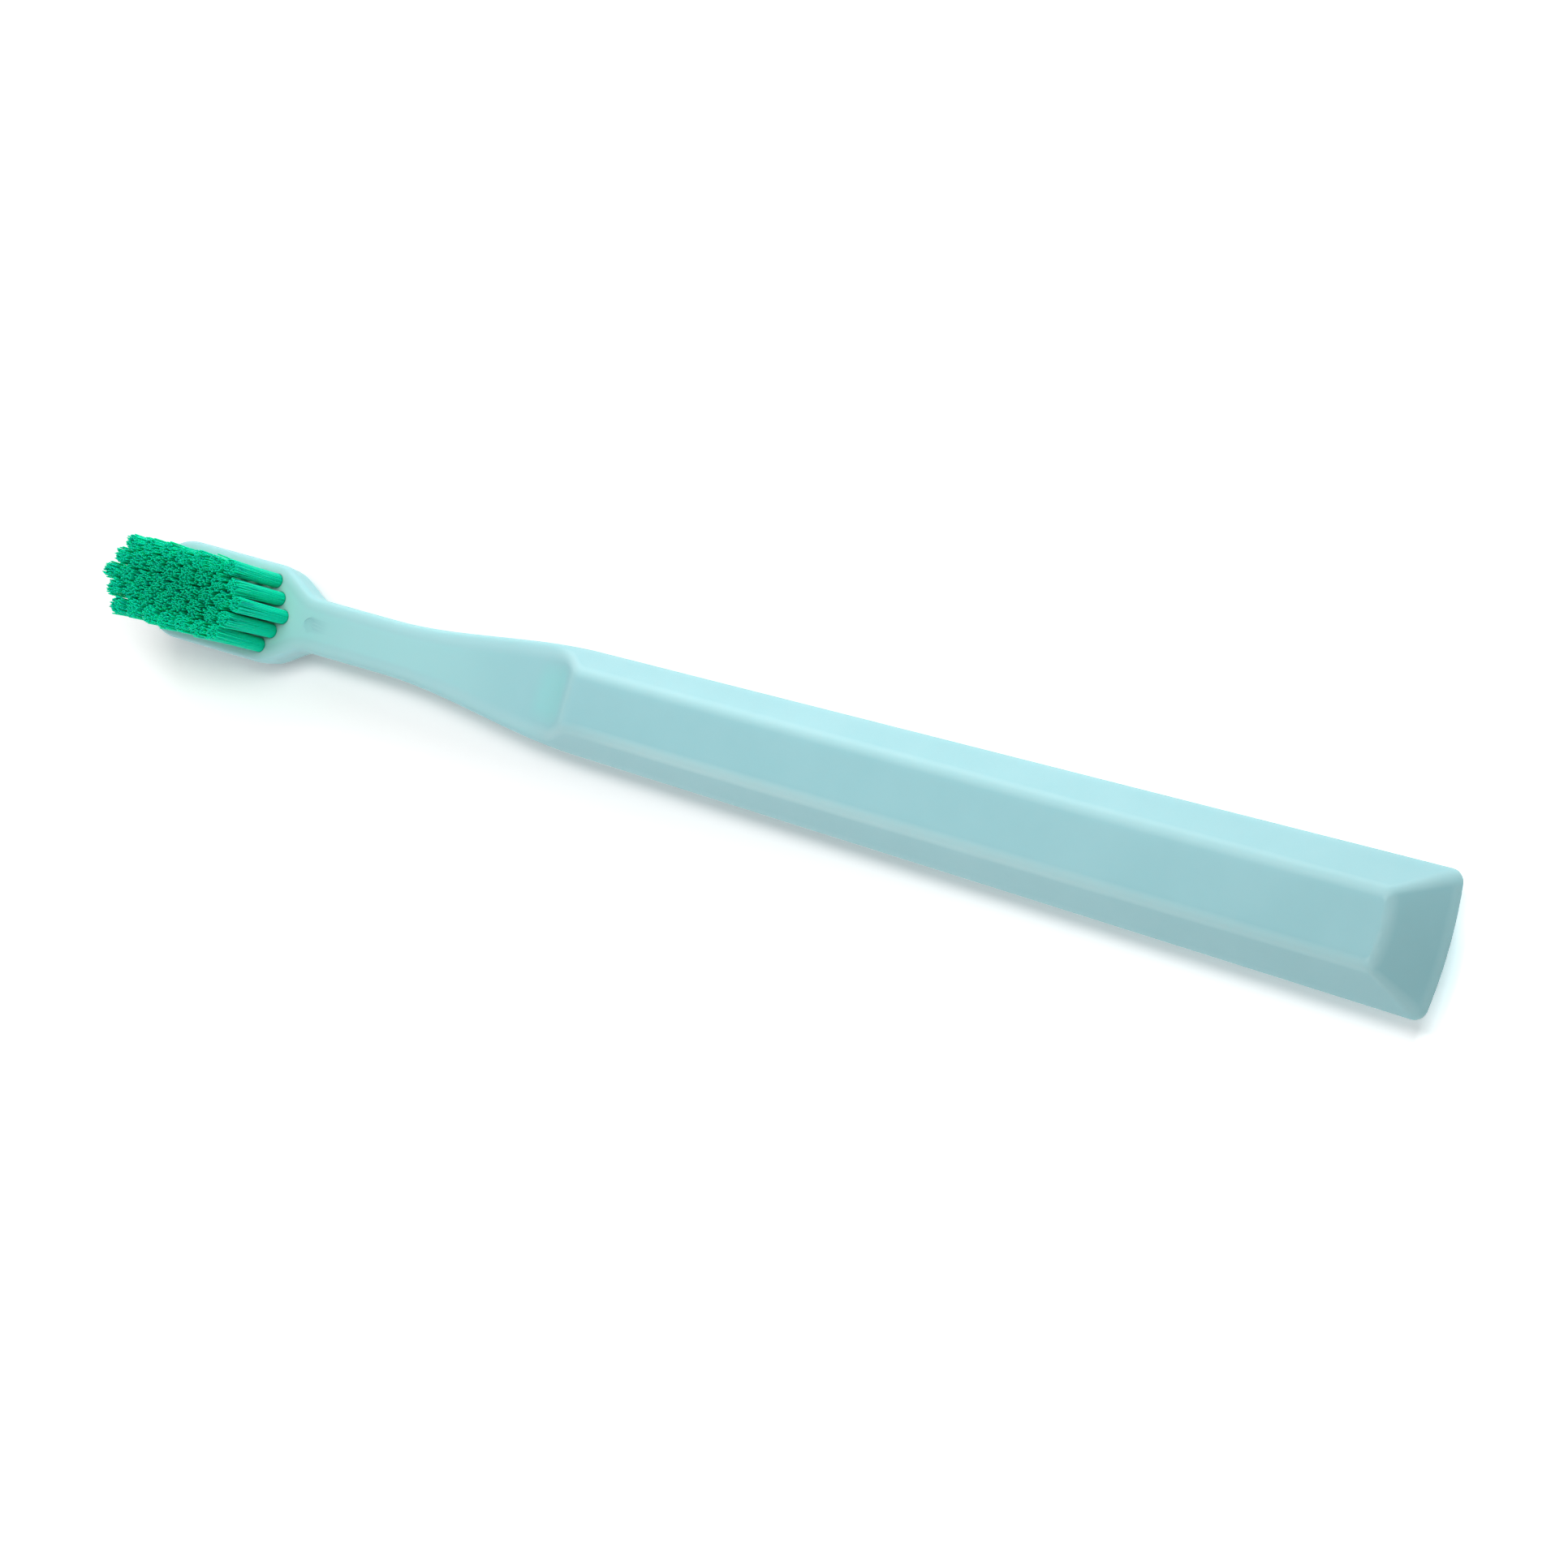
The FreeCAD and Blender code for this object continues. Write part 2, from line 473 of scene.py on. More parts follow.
@dataclass
class Handle:
    """Grip, thumb ramp, neck and head in one moulding, in millimetres. The frame gives both ends."""

    # Sizes of the CAD part, with a shallower gate mark
    grip_length: float = 111.75
    grip_thickness: float = 9.2
    grip_end_width: float = 16.1
    grip_front_width: float = 12.36
    face_end_width: float = 8.4
    face_front_width: float = 7.15
    side_land: float = 0.6
    end_slope_run: float = 5.6
    end_bulge: float = 0.4
    end_corner_radius: float = 1.5
    face_corner_radius: float = 0.8
    ramp_run: float = 7.05
    neck_top: float = 5.6
    neck_lift: float = 1.0
    taper_length: float = 30.0
    waist_length: float = 12.0
    waist_width: float = 6.72
    waist_sole_width: float = 5.7
    shoulder_length: float = 7.0
    waist_ridge_share: float = 0.2
    head_ridge_share: float = 0.5
    head_width: float = 12.36
    head_sole_inset: float = 0.5
    gate_mark_diameter: float = 1.6
    gate_mark_depth: float = 0.05
    gate_mark_setback: float = 6.85
    hole_clearance: float = 0.02
    cut_overrun: float = 1.0
    # Roundings that only the scene has, and how much of a facet one may take up
    edge_round: float = 1.1
    end_round: float = 1.3
    crest_round: float = 1.9
    facet_share: float = 0.48
    rim_chamfer: float = 0.03
    # How strongly the edges of a section, from the sole up, show their painted highlight, and where it grows
    side_shines: tuple[float, ...] = (0.2, 0.2, 0.2, 1.0)
    end_shines: tuple[float, ...] = (0.2, 0.2, 0.9, 1.0)
    corner_shine: float = 1.1
    front_shines: tuple[float, float] = (2.1, 1.5)
    shine_run: float = 9.0
    # Painted glow: how much of the head's the neck gets, and how much of the top's the sides get
    neck_glow: float = 0.75
    side_glow: float = 0.5
    # Greener painted bounce light at the ramp's concave foot: its start past the foot, its stop past the
    # crest, and over how many points of a section it fades in
    bounce_start: tuple[float, float] = (-0.6, 2.0)
    bounce_stop: tuple[float, float] = (-2.2, -0.5)
    bounce_fade: int = 3
    # Fineness of the mesh
    face_shares: tuple[float, ...] = (0.1, 0.25, 0.5, 0.75)
    bow_steps: int = 6
    corner_steps: int = 7
    grip_steps: int = 10
    tip_steps: int = 18
    round_steps: int = 6
    ramp_steps: int = 30
    taper_steps: int = 18
    waist_steps: int = 4
    shoulder_steps: int = 14
    head_steps: int = 5
    hole_sides: int = 28
    mark_sides: int = 40
    sharp_degrees: float = 38.0
    end_x: float = field(init=False)
    tip_x: float = field(init=False)

    def __post_init__(self) -> None:
        """Takes both ends of the brush from the frame and sets the stations between them."""
        low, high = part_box("handle")
        self.end_x = high.x / MM
        self.tip_x = low.x / MM
        self.crest_x = self.end_x - self.grip_length
        self.foot_x = self.crest_x - self.ramp_run
        self.waist_x = self.crest_x - self.taper_length
        self.shoulder_x = self.waist_x - self.waist_length
        self.head_x = self.shoulder_x - self.shoulder_length
        self.tip_centre_x = self.tip_x + self.head_width / 2
        middle = self.grip_thickness / 2
        self.land_low = middle - self.side_land / 2
        self.land_high = middle + self.side_land / 2
        self.levels = self.make_levels()

    def make_levels(self) -> list[Level]:
        """Outlines of the sole, both edges of the upright band, and the top as far as its facets reach."""
        widest = (self.end_corner_radius, self.grip_end_width, self.grip_front_width, self.waist_width,
                  self.head_width)
        sole = (self.face_corner_radius, self.face_end_width, self.face_front_width, self.waist_sole_width,
                self.head_width - 2 * self.head_sole_inset)
        top = (self.face_corner_radius, self.face_end_width, self.face_front_width,
               self.waist_ridge_share * self.waist_width, self.head_ridge_share * self.head_width)
        face_x = self.end_x - self.end_slope_run
        return [
            Level(0, face_x, *sole),
            Level(self.land_low, self.end_x, *widest),
            Level(self.land_high, self.end_x, *widest),
            Level(self.grip_thickness, face_x, *top),
        ]

    def half_width(self, level: Level, x: float) -> float:
        """Half the width of an outline at a station between the end's corner and the head's round tip.

        Args:
            level: Outline.
            x: Station along the brush.

        Returns:
            Distance from the middle plane.
        """
        end, front = level.end_width / 2, level.front_width / 2
        waist, head = level.waist_width / 2, level.head_width / 2
        slope = (end - front) / (level.end_x - self.end_bulge - level.corner - self.crest_x)
        if x >= self.crest_x:
            return front + slope * (x - self.crest_x)
        if x >= self.waist_x:
            run = (self.crest_x - x) / self.taper_length
            eased = front - slope * self.taper_length / 3
            rest = 1 - run
            return rest ** 3 * front + 3 * rest ** 2 * run * eased + (3 * rest + run) * run ** 2 * waist
        return waist + (head - waist) * smooth_step(self.shoulder_x, self.head_x, x)

    def stations(self) -> list[float]:
        """Stations from near the crest to the start of the tip, closest where the shape turns."""
        near_crest = self.crest_x + self.crest_round
        past_foot = self.foot_x - self.crest_round
        spans = [
            (near_crest, past_foot, self.ramp_steps),
            (past_foot, self.waist_x, self.taper_steps),
            (self.waist_x, self.shoulder_x, self.waist_steps),
            (self.shoulder_x, self.head_x, self.shoulder_steps),
            (self.head_x, self.tip_centre_x, self.head_steps),
        ]
        found = [near_crest]
        for start, stop, steps in spans:
            found += [start + (stop - start) * (step + 1) / steps for step in range(steps)]
        return found

    def flank(self, level: Level) -> list[Vector]:
        """Points of the +Y half of an outline, from the middle of the end to the middle of the tip.

        Args:
            level: Outline.

        Returns:
            The points, as many and in the same order for every level.
        """
        corner_x = level.end_x - self.end_bulge - level.corner
        corner_y = level.end_width / 2 - level.corner
        points = []
        for step in range(self.bow_steps):
            share = step / self.bow_steps
            points.append((level.end_x - self.end_bulge * share ** 2, corner_y * share))
        for step in range(self.corner_steps):
            turn = math.pi / 2 * step / self.corner_steps
            x = corner_x + level.corner * math.cos(turn)
            points.append((x, corner_y + level.corner * math.sin(turn)))
        along = self.stations()
        for step in range(self.grip_steps):
            x = corner_x + (along[0] - corner_x) * step / self.grip_steps
            points.append((x, self.half_width(level, x)))
        points += [(x, self.half_width(level, x)) for x in along]
        for step in range(1, self.tip_steps + 1):
            turn = math.pi / 2 * step / self.tip_steps
            reach = level.head_width / 2
            points.append((self.tip_centre_x - reach * math.sin(turn), reach * math.cos(turn)))
        return [Vector((x, y, level.height)) for x, y in points]

    def arc_height(self, run: float, length: float, rise: float) -> float:
        """Rise of an arc that starts level and climbs by a rise over a length, carried on straight past it.

        Args:
            run: Distance from the level end.
            length: Run of the whole arc.
            rise: Rise of the whole arc.

        Returns:
            Rise at that distance.
        """
        half_turn = math.atan2(rise, length)
        radius = math.hypot(length, rise) / (2 * math.sin(half_turn))
        if run <= 0:
            return 0.0
        if run >= length:
            return rise + math.tan(2 * half_turn) * (run - length)
        return radius - math.sqrt(radius ** 2 - run ** 2)

    def top_height(self, x: float) -> tuple[float, float]:
        """Height of the top at a station, with the crest of the ramp rounded.

        Args:
            x: Station along the brush.

        Returns:
            The height, and how far the station is into the rounded crest, from 0 to 1.
        """
        rise = self.grip_thickness - self.neck_top
        ramp = self.neck_top + self.arc_height(x - self.foot_x, self.ramp_run, rise)
        near = max(1 - abs(ramp - self.grip_thickness) / self.crest_round, 0.0)
        return min(ramp, self.grip_thickness) - near ** 2 * self.crest_round / 4, near

    def sole_height(self, x: float) -> float:
        """Height of the underside at a station: on the table under the grip, lifted under neck and head."""
        fall = self.arc_height(x - self.waist_x, self.taper_length, self.neck_lift)
        return max(self.neck_lift - fall, 0.0)

    def rounded(self, corners: Sequence[Vector], turned: float) -> Iterator[tuple[Vector, float]]:
        """Rounds the inner corners of a half section.

        Args:
            corners: Corner points, with both ends.
            turned: How far the section is round the corner from the handle's end, 0, to its side, 1.

        Yields:
            Each point, and its painted highlight, from 0 on the flat to the edge's shine at the middle of a
            rounding.
        """
        reach = self.end_round + (self.edge_round - self.end_round) * turned
        yield corners[0], 0.0
        for place, (before, corner, after) in enumerate(zip(corners, corners[1:], corners[2:])):
            shine = self.end_shines[place] + (self.side_shines[place] - self.end_shines[place]) * turned
            back, onward = before - corner, after - corner
            back_reach = min(reach, self.facet_share * back.length)
            spare = reach - back_reach if corner is corners[-2] else 0.0
            onward_reach = min(self.edge_round + spare, self.facet_share * onward.length)
            start = corner + back.normalized() * back_reach
            stop = corner + onward.normalized() * onward_reach
            for step in range(self.round_steps + 1):
                share = step / self.round_steps
                rest = 1 - share
                point = rest ** 2 * start + 2 * rest * share * corner + share ** 2 * stop
                yield point, smooth_step(0.0, 1.0, 4 * share * rest) * shine
        for share in (*self.face_shares, 1.0):
            yield stop.lerp(corners[-1], share), 0.0

    def turned(self, station: int) -> float:
        """How far a station is round the corner from the handle's end, 0, to its side, 1."""
        return min(max((station - self.bow_steps) / self.corner_steps, 0.0), 1.0)

    def section(self, station: int, points: Sequence[Vector]) -> list[tuple[Vector, float, float, float]]:
        """Half section of the handle, from the middle of its underside to the middle of its top.

        Args:
            station: Number of the station along the outlines.
            points: Points of the outlines of the sole, both edges of the upright band, and the top.

        Returns:
            Points, with their shares of painted edge highlight, of painted bounce light and of painted glow.
        """
        sole, low, high, top = points
        roof, crest = self.top_height(top.x)
        floor = self.sole_height(sole.x)
        foot = sole.lerp(low, floor / self.land_low)
        ridge = high.lerp(top, (roof - self.land_high) / (self.grip_thickness - self.land_high))
        pole_x = self.levels[0].end_x - self.end_bulge - self.face_corner_radius
        corners = [
            Vector((min(max(foot.x, self.tip_centre_x), pole_x), 0, floor)),
            foot, low, high, ridge,
            Vector((min(max(ridge.x, self.tip_centre_x), pole_x), 0, roof)),
        ]
        turned = self.turned(station)
        # Painted highlight at the end's corners
        corner_shine = self.corner_shine * 4 * turned * (1 - turned)
        # Painted glow, growing from the crest to the neck and again at the head
        glow = self.neck_glow * smooth_step(self.crest_x, self.waist_x, top.x)
        head_glow = (1 - self.neck_glow) * smooth_step(self.shoulder_x, self.head_x, top.x)
        # Painted bounce light at the ramp's concave foot
        hollow_bounce = smooth_step(*(self.foot_x + past for past in self.bounce_start), top.x)
        hollow_bounce *= 1 - smooth_step(*(self.crest_x + past for past in self.bounce_stop), top.x)
        made = []
        line = list(self.rounded(corners, turned))
        face_start = len(line) - len(self.face_shares) - 1
        for place, (point, edge) in enumerate(line):
            across = min(max((place - face_start + 1) / self.bounce_fade, 0.0), 1.0)
            on_face = place >= face_start - 1
            # Painted highlight on the edges, and on the top where the ramp's crest rounds over
            shine = max(edge, crest ** 2) if on_face else max(edge, corner_shine)
            # Painted glow, weaker on the sides than on the top
            glow_share = glow + head_glow if on_face else glow * self.side_glow
            made.append((point, shine, hollow_bounce * across, glow_share))
        return made

    def skin(self) -> bmesh.types.BMesh:
        """Wraps a grid round the half section at every station and mirrors it."""
        flanks = [self.flank(level) for level in self.levels]
        sections = [self.section(station, points) for station, points in enumerate(zip(*flanks))]
        long_steps, round_steps = len(sections) - 1, len(sections[0]) - 1
        bm = bmesh.new()
        bmesh.ops.create_grid(bm, x_segments=long_steps, y_segments=round_steps, size=1.0)
        highlight_mark, bounce_mark, glow_mark = (
            bm.verts.layers.float.new(mark.value) for mark in (Mark.EDGE, Mark.HOLLOW_BOUNCE, Mark.PALE))
        for vert in bm.verts:
            station = round((vert.co.x + 1) / 2 * long_steps)
            ring = round((vert.co.y + 1) / 2 * round_steps)
            vert.co, vert[highlight_mark], vert[bounce_mark], vert[glow_mark] = sections[station][ring]
        bmesh.ops.mirror(bm, geom=bm.verts[:] + bm.edges[:] + bm.faces[:], axis="Y", merge_dist=MERGE_GAP)
        bmesh.ops.remove_doubles(bm, verts=bm.verts, dist=MERGE_GAP)
        bmesh.ops.recalc_face_normals(bm, faces=bm.faces)
        # Painted highlight, stronger along the front edges and growing in past the crest
        for vert in bm.verts:
            if vert.co.y < 0 and self.crest_x < vert.co.x < self.levels[-1].end_x:
                near, far = self.front_shines
                shine = near + (far - near) * smooth_step(self.crest_x, self.end_x, vert.co.x)
                start = smooth_step(self.crest_x, self.crest_x + self.shine_run, vert.co.x)
                vert[highlight_mark] *= 1 + (shine - 1) * start
        return bm

    def plug(self, radius: float, foot: float, chamfer: float, steps: int) -> bpy.types.Mesh:
        """Round cutter on the axis, with a chamfer at the head's surface.

        Args:
            radius: Radius of the hole.
            foot: Height of the hole's floor.
            chamfer: Width of the chamfer, as deep as it is wide or as the hole is, or 0 for none.
            steps: Number of sides.

        Returns:
            The cutter, in millimetres.
        """
        rim = radius + chamfer
        above = self.neck_top + self.cut_overrun
        low_rim = max(self.neck_top - chamfer, foot)
        profile = [(0, foot), (radius, foot), (radius, low_rim), (rim, self.neck_top), (rim, above),
                   (0, above)]
        bm = bmesh.new()
        corners = [bmesh.ops.create_vert(bm, co=(profile[0][0], 0, profile[0][1]))["vert"][0]]
        for x, z in profile[1:]:
            corners += bmesh.ops.extrude_vert_indiv(bm, verts=corners[-1:])["verts"]
            corners[-1].co = (x, 0, z)
        bmesh.ops.spin(bm, geom=bm.verts[:] + bm.edges[:], axis=(0, 0, 1), angle=2 * math.pi, steps=steps,
                       use_merge=True)
        bmesh.ops.remove_doubles(bm, verts=bm.verts, dist=MERGE_GAP)
        bmesh.ops.recalc_face_normals(bm, faces=bm.faces)
        return bare_mesh(bm, "plug")

    def cutter(self, tufts: Sequence["Tuft"]) -> bpy.types.Object:
        """All tuft holes and the gate mark as one cutter.

        Args:
            tufts: Tufts that need a hole.

        Returns:
            The cutter's object, in metres.
        """
        bm = bmesh.new()
        hole_radius = tufts[0].radius + self.hole_clearance
        hole = self.plug(hole_radius, tufts[0].foot, self.rim_chamfer, self.hole_sides)
        mark_foot = self.neck_top - self.gate_mark_depth
        mark = self.plug(self.gate_mark_diameter / 2, mark_foot, 0.0, self.mark_sides)
        places = [(hole, tuft.x, tuft.y) for tuft in tufts]
        places.append((mark, self.head_x + self.gate_mark_setback, 0))
        for mesh, x, y in places:
            start = len(bm.verts)
            bm.from_mesh(mesh)
            bm.verts.ensure_lookup_table()
            bmesh.ops.translate(bm, vec=Vector((x, y, 0)), verts=bm.verts[start:])
        return link_object("head_cutter", mesh_from(bm, "head_cutter"))

    def build(self, tufts: Sequence["Tuft"], finish: SatinPlastic) -> bpy.types.Object:
        """Builds the moulding, cuts its holes and dresses it.

        Args:
            tufts: Tufts that sit in the head.
            finish: Finish of the plastic.

        Returns:
            The finished piece.
        """
        piece = link_object("handle_moulding", mesh_from(self.skin(), "handle_moulding"))
        cutter = self.cutter(tufts)
        cut = piece.modifiers.new("holes", "BOOLEAN")
        cut.operation = "DIFFERENCE"
        cut.solver = "EXACT"
        cut.object = cutter
        shape = piece.evaluated_get(bpy.context.evaluated_depsgraph_get())
        holed = bpy.data.meshes.new_from_object(shape)
        piece.modifiers.clear()
        piece.data = holed
        bpy.data.objects.remove(cutter)
        self.crease(holed)
        holed.materials.clear()
        holed.materials.append(finish.material())
        shading = piece.modifiers.new("facet_shading", "WEIGHTED_NORMAL")
        shading.keep_sharp = True
        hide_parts("handle")
        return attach(piece, BODY)

    def crease(self, mesh: bpy.types.Mesh) -> None:
        """Keeps the rims of the holes crisp and everything else smooth."""
        sharp_angle = math.radians(self.sharp_degrees)
        bm = bmesh.new()
        bm.from_mesh(mesh)
        bmesh.ops.dissolve_degenerate(bm, dist=MERGE_GAP * MM, edges=bm.edges)
        for edge in bm.edges:
            edge.smooth = edge.calc_face_angle(0.0) < sharp_angle
        for face in bm.faces:
            face.smooth = True
        bm.to_mesh(mesh)
        bm.free()


@dataclass(frozen=True)
class Tuft:
    """Place and size of one tuft, read from its CAD node, in millimetres."""

    node: str
    row_share: float
    place_share: float
    x: float
    y: float
    foot: float
    tip: float
    radius: float


def find_tufts(flare: float) -> list[Tuft]:
    """Reads every tuft from the frame.

    Args:
        flare: How much wider a tuft is at its tip than at its root, in millimetres.

    Returns:
        The tufts, in order of row and place. Their row share runs from -1 to 1 across the head, and their
        place share from -1 at the head's tip to 1 at the neck.
    """
    names = sorted(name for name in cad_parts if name.startswith("tuft_row"))
    rows = {}
    for name in names:
        rows.setdefault(int(name.split("_")[1][3:]), []).append(name)
    tufts = []
    for row, members in enumerate(rows.values()):
        row_share = 2 * row / (len(rows) - 1) - 1
        for place, name in enumerate(members):
            low, high = (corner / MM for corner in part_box(name))
            middle = (low + high) / 2
            place_share = 2 * place / (len(members) - 1) - 1
            radius = (high.x - low.x - flare) / 2
            tufts.append(Tuft(name, row_share, place_share, middle.x, middle.y, low.z, high.z, radius))
    return tufts


@dataclass
class BristleField:
    """Tufts of separate filaments that fan out a little and end unevenly, in millimetres."""

    # Filaments and their places in the hole
    filament_diameter: float = 0.178
    ring_counts: tuple[int, ...] = (1, 6, 12, 18, 24, 30)
    sides: int = 6
    step_shares: tuple[float, ...] = (0.24, 0.5, 0.76, 0.988)
    end_width_share: float = 0.65
    root_jitter: float = 0.12
    root_reach: tuple[float, float] = (0.93, 1.0)
    # How far tips drop at the rim of a tuft, and by chance
    dome: float = 0.096
    ragged: float = 0.12
    # How far single filaments stray, in the middle of the field and at its edge
    wander: float = 0.22
    edge_wander: float = 0.12
    wander_power: float = 2.8
    # How far a tuft widens: in the CAD, in the scene, and in the scene at the ends of a row
    flare: float = 0.3
    spread: float = 0.5
    end_spread: float = 0.22
    end_span: tuple[float, float] = (0.6, 1.0)
    flare_power: float = 0.8
    # How far whole tufts lean, towards the neck, towards the head's tip, sideways and by chance
    near_lean: float = 0.6
    near_span: tuple[float, float] = (0.0, 0.8)
    far_lean: float = 0.85
    far_span: tuple[float, float] = (-0.2, -1.0)
    side_lean: float = -0.06
    stray_lean: float = 0.07
    lean_power: float = 1.5
    # How deep the colour is by chance, and how much deeper it is painted in the middle of the field, as
    # shade
    stray_tone: float = 0.16
    inner_shade: float = 0.72
    seed: int = 41

    def tufts(self) -> list[Tuft]:
        """Tufts of the frame, with their width at the root."""
        return find_tufts(self.flare)

    def filament(self, foot: float, tip: float) -> bpy.types.Mesh:
        """One straight filament on the axis, with a rounded cut end.

        Args:
            foot: Height of its root.
            tip: Height of its end.

        Returns:
            The filament, in millimetres.
        """
        bm = bmesh.new()
        bmesh.ops.create_circle(bm, segments=self.sides, radius=self.filament_diameter / 2,
                                matrix=Matrix.Translation((0, 0, foot)))
        root = bm.edges[:]
        ring = root
        for share in (*self.step_shares, 1.0):
            grown = bmesh.ops.extrude_edge_only(bm, edges=ring)["geom"]
            verts = [part for part in grown if isinstance(part, bmesh.types.BMVert)]
            ring = [part for part in grown if isinstance(part, bmesh.types.BMEdge) and part.is_boundary]
            for vert in verts:
                vert.co.z = foot + (tip - foot) * share
        bmesh.ops.scale(bm, vec=(self.end_width_share, self.end_width_share, 1), verts=verts)
        bmesh.ops.edgeloop_fill(bm, edges=ring)
        bmesh.ops.edgeloop_fill(bm, edges=root)
        bmesh.ops.recalc_face_normals(bm, faces=bm.faces)
        return bare_mesh(bm, "filament")

    def roots(self, tuft: Tuft, draw: random.Random) -> Iterator[tuple[float, float, float]]:
        """Places of the filaments in their hole.

        Args:
            tuft: Tuft that they belong to.
            draw: Seeded source of chance.

        Yields:
            Offset from the tuft's axis along X and Y, and the share of the way out to the rim.
        """
        pitch = (tuft.radius - self.filament_diameter / 2) / (len(self.ring_counts) - 1)
        for ring, count in enumerate(self.ring_counts):
            turn = draw.uniform(0, 2 * math.pi)
            for place in range(count):
                jitter = draw.uniform(-self.root_jitter, self.root_jitter)
                angle = turn + 2 * math.pi * (place + jitter) / count
                reach = ring * pitch * draw.uniform(*self.root_reach)
                yield reach * math.cos(angle), reach * math.sin(angle), ring / (len(self.ring_counts) - 1)

    def lean(self, tuft: Tuft, draw: random.Random) -> Vector:
        """How far the tip of a tuft leans from its root, along X and Y."""
        near = self.near_lean * smooth_step(*self.near_span, tuft.place_share)
        far = self.far_lean * smooth_step(*self.far_span, tuft.place_share)
        along = near - far + draw.gauss(0, self.stray_lean)
        aside = self.side_lean * tuft.row_share + draw.gauss(0, self.stray_lean)
        return Vector((along, aside, 0))

    def bundle(self, tuft: Tuft, template: bpy.types.Mesh, surface: float,
               draw: random.Random) -> bpy.types.Mesh:
        """All filaments of one tuft.

        Args:
            tuft: Tuft to fill.
            template: Straight filament on the axis.
            surface: Height of the head's top, where the filaments start to lean.
            draw: Seeded source of chance.

        Returns:
            The tuft's mesh, in metres.
        """
        bm = bmesh.new()
        along_mark = bm.verts.layers.float.new(Mark.ALONG.value)
        tone_and_shade_mark = bm.verts.layers.float.new(Mark.TONE_AND_SHADE.value)
        lean = self.lean(tuft, draw)
        inner = 1 - max(abs(tuft.place_share), abs(tuft.row_share)) ** 2
        wander = self.edge_wander + (self.wander - self.edge_wander) * inner
        row_end = smooth_step(*self.end_span, abs(tuft.place_share))
        spread = self.spread + (self.end_spread - self.spread) * row_end
        for x, y, out in self.roots(tuft, draw):
            start = len(bm.verts)
            bm.from_mesh(template)
            bm.verts.ensure_lookup_table()
            stray = Vector((draw.gauss(0, wander), draw.gauss(0, wander), 0))
            widening = Vector((x, y, 0)) * spread / (2 * tuft.radius)
            drop = self.dome * out ** 2 + draw.random() ** 2 * self.ragged
            # Random depth of colour, plus painted shade in the middle of the field
            tone_and_shade = self.stray_tone * draw.random() + self.inner_shade * inner
            for vert in bm.verts[start:]:
                along = (vert.co.z - tuft.foot) / (tuft.tip - tuft.foot)
                above = max((vert.co.z - surface) / (tuft.tip - surface), 0.0)
                vert[along_mark] = along
                vert[tone_and_shade_mark] = tone_and_shade
                vert.co.z -= drop * above
                vert.co += Vector((tuft.x + x, tuft.y + y, 0)) + widening * above ** self.flare_power
                vert.co += lean * above ** self.lean_power + stray * above ** self.wander_power
        return mesh_from(bm, tuft.node.replace("tuft", "filaments"))

    def build(self, tufts: Sequence[Tuft], surface: float, finish: DyedNylon) -> Iterator[bpy.types.Object]:
        """Builds and dresses every tuft.

        Args:
            tufts: Tufts of the frame.
            surface: Height of the head's top.
            finish: Finish of the filaments.

        Yields:
            Each finished tuft.
        """
        draw = random.Random(self.seed)
        material = finish.material()
        template = self.filament(tufts[0].foot, tufts[0].tip)
        for tuft in tufts:
            mesh = self.bundle(tuft, template, surface, draw)
            mesh.materials.append(material)
            piece = link_object(mesh.name, mesh)
            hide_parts(tuft.node)
            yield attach(piece, BODY)


@dataclass
class AnchorPlates:
    """Flat wire pieces that hold the tufts. The CAD node has the right shape and gets a finish."""

    node: str = "tuft_anchors"

    def dress(self, finish: DrawnBrass) -> bpy.types.Object:
        """Puts the finish on the CAD node."""
        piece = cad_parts[self.node]
        piece.data.materials.clear()
        piece.data.materials.append(finish.material())
        return piece


